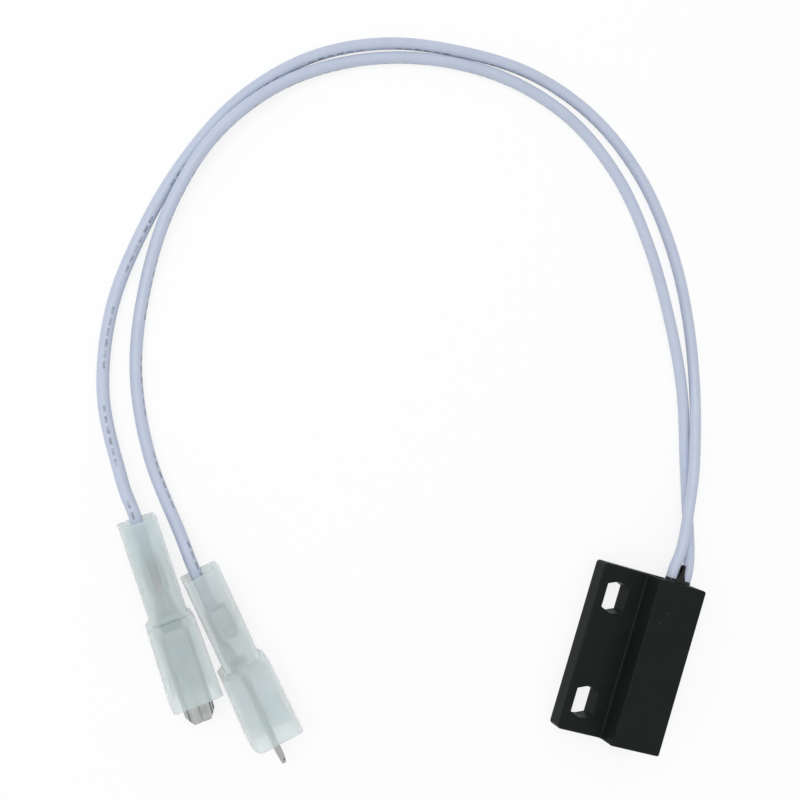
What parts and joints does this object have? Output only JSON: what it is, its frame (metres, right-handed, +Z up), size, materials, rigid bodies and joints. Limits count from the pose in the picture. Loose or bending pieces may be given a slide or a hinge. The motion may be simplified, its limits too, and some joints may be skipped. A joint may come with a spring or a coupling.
{
  "type": "reed sensor",
  "caption": "Flange-mount reed sensor: a potted housing with slotted mounting holes, two insulated leads and a crimped tab terminal in a translucent housing on each lead.",
  "frame": {"origin": "on the underside of the sensor housing, at its centre, without the leads and what is on them", "axes": "+Z up out of the mounting face, +Y along the housing to the end where the leads come out, the flange with the slots at -X and the raised body at +X"},
  "size_m": [0.0858, 0.0931, 0.0065],
  "materials": {
    "black_plastic": "satin",
    "potting": "glossy",
    "glass": "clear",
    "reed_metal": "satin",
    "solder": "satin",
    "tinned_strands": "satin",
    "lead_insulation": "satin",
    "copper_strands": "satin",
    "terminal_metal": "satin",
    "milky_plastic": "translucent"
  },
  "bodies": {
    "sensor": {"sensor_housing": "black_plastic", "potting_compound": "potting", "reed_glass": "glass", "reed_blade_fixed": "reed_metal", "reed_lead_far": "reed_metal", "solder_joint_1": "solder", "solder_joint_2": "solder", "inner_strands_1": "tinned_strands", "inner_strands_2": "tinned_strands", "lead_1": "lead_insulation", "lead_2": "lead_insulation", "crimped_strands_1": "copper_strands", "crimped_strands_2": "copper_strands", "tab_terminal_1": "terminal_metal", "tab_terminal_2": "terminal_metal", "tab_housing_1": "milky_plastic", "tab_housing_2": "milky_plastic"},
    "reed_contact": {"reed_blade_moving": "reed_metal"}
  },
  "joints": [
    {"name": "reed_contact_flex", "type": "hinge", "parent": "sensor", "child": "reed_contact", "pos_m": [0.00255, -0.0067, 0.00283], "axis": [1, 0, 0], "range_deg": [0, 0.64], "stiffness_Nm_per_rad": 0.0037}
  ]
}
